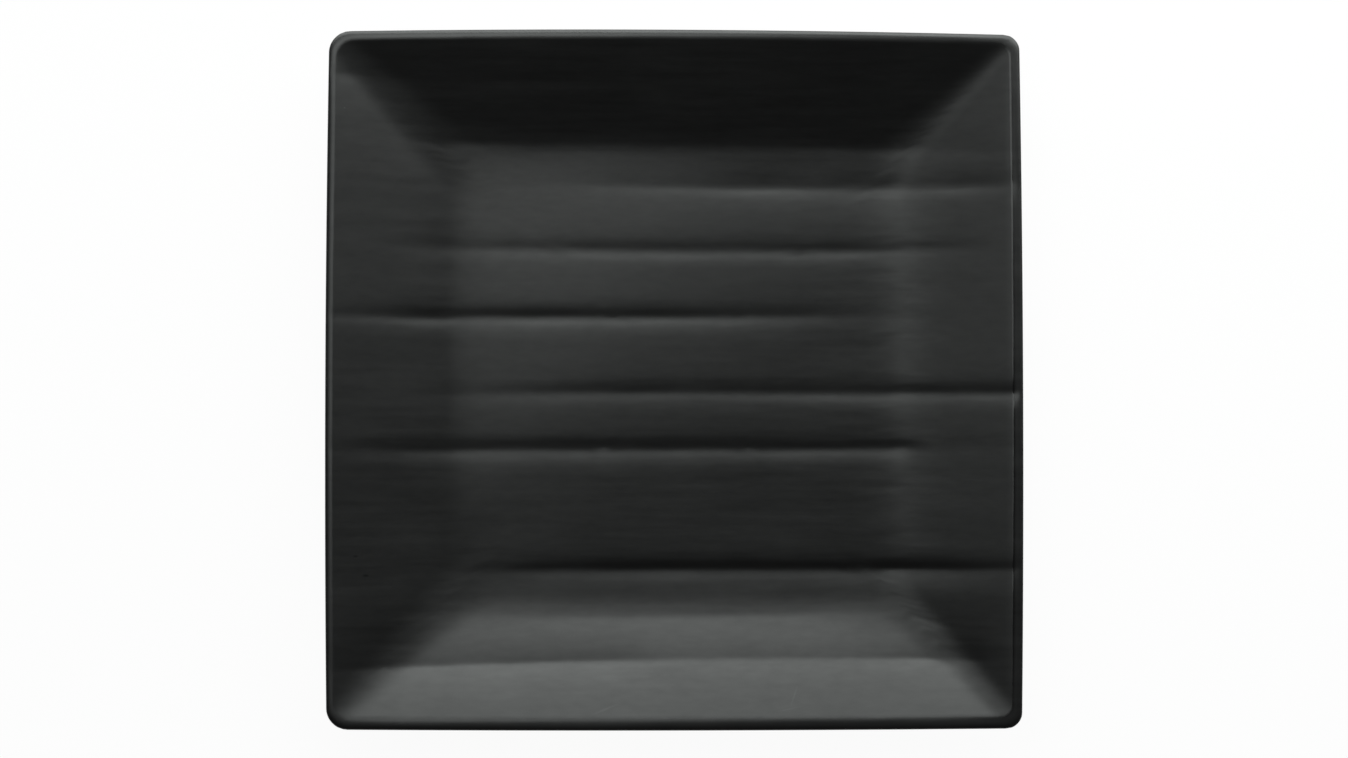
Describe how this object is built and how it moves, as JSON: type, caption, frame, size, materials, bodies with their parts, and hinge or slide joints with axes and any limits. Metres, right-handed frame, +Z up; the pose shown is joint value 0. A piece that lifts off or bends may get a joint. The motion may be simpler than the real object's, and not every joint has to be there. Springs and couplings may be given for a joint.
{
  "type": "square dinner plate",
  "caption": "Square black melamine plate with a broad, barely crowned well, wide straight slopes, a rolled rim lip, shallow uneven grooves across its face and a foot ring underneath.",
  "frame": {"origin": "under the middle of the plate, on the plane that the foot ring stands on", "axes": "+Z up out of the well; the grooves run along X; +Y is the far side, the top of the picture"},
  "size_m": [0.27, 0.2712, 0.025],
  "materials": {
    "melamine_body": "plain moulded black",
    "melamine_glaze": "satin black with fine drawn streaks"
  },
  "bodies": {
    "root": {"plate_body": "melamine_body", "face_glaze": "melamine_glaze"}
  },
  "joints": []
}
